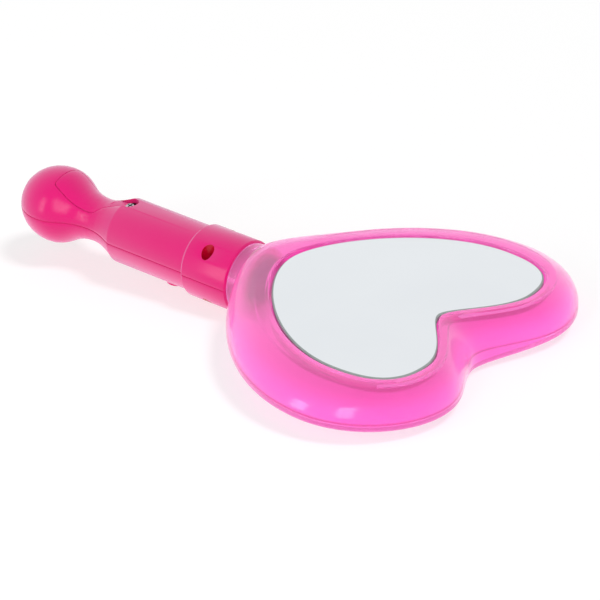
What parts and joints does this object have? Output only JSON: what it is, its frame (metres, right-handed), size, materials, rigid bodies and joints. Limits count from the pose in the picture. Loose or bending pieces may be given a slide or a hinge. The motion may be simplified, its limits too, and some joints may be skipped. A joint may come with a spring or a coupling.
{
  "type": "light-up heart hand mirror",
  "caption": "Heart-shaped hand mirror with a translucent head lit by one lamp, a round grip with a battery bay, a screwed battery door and a push button.",
  "frame": {"origin": "middle of the footprint, level with the lowest point of the bulb", "axes": "+X along the handle towards the head, +Z the way the mirror faces, +Y across the head"},
  "size_m": [0.2257, 0.1376, 0.0303],
  "materials": {
    "head": "translucent magenta-pink moulding, glossy",
    "mirror": "flat silvered mirror",
    "tape": "white double-sided foam tape",
    "handle": "opaque hot-pink moulding, glossy",
    "screw": "bright zinc-plated steel",
    "black_plastic": "black moulding compound",
    "white_plastic": "white moulding",
    "board": "green solder mask on glass-fibre laminate",
    "lamp": "clear epoxy lens",
    "cell": "nickel-plated steel can",
    "tin": "tinned or nickel-plated sheet and wire",
    "red_wire": "red flexible insulation",
    "black_wire": "black flexible insulation"
  },
  "bodies": {
    "handle": {"head_front_shell": "head", "head_back_shell": "head", "mirror_plate": "mirror", "mirror_tape": "tape", "handle_top_shell": "handle", "handle_bottom_shell": "handle", "collar_screws": "screw", "switch_body": "black_plastic", "circuit_board": "board", "control_chip": "black_plastic", "series_resistor": "black_plastic", "led_holder": "handle", "led_lamp": "lamp", "led_leads": "tin", "button_cell_1": "cell", "button_cell_2": "cell", "button_cell_3": "cell", "contact_front": "tin", "contact_rear": "tin", "contact_spring": "tin", "lead_positive": "red_wire", "lead_negative": "black_wire"},
    "battery_door": {"battery_door": "handle"},
    "door_screw": {"door_screw": "screw"},
    "button": {"push_button": "handle", "switch_plunger": "white_plastic"}
  },
  "joints": [
    {"name": "battery_door_lift", "type": "slide", "parent": "handle", "child": "battery_door", "axis": [0, 0, 1], "range_m": [0, 0.025]},
    {"name": "door_screw_turn", "type": "hinge", "parent": "battery_door", "child": "door_screw", "pos_m": [-0.06195, 0, 0.0241], "axis": [0, 0, 1], "continuous": true},
    {"name": "button_press", "type": "slide", "parent": "handle", "child": "button", "axis": [0, 0, 1], "range_m": [0, 0.0006], "stiffness_N_per_m": 1500}
  ]
}
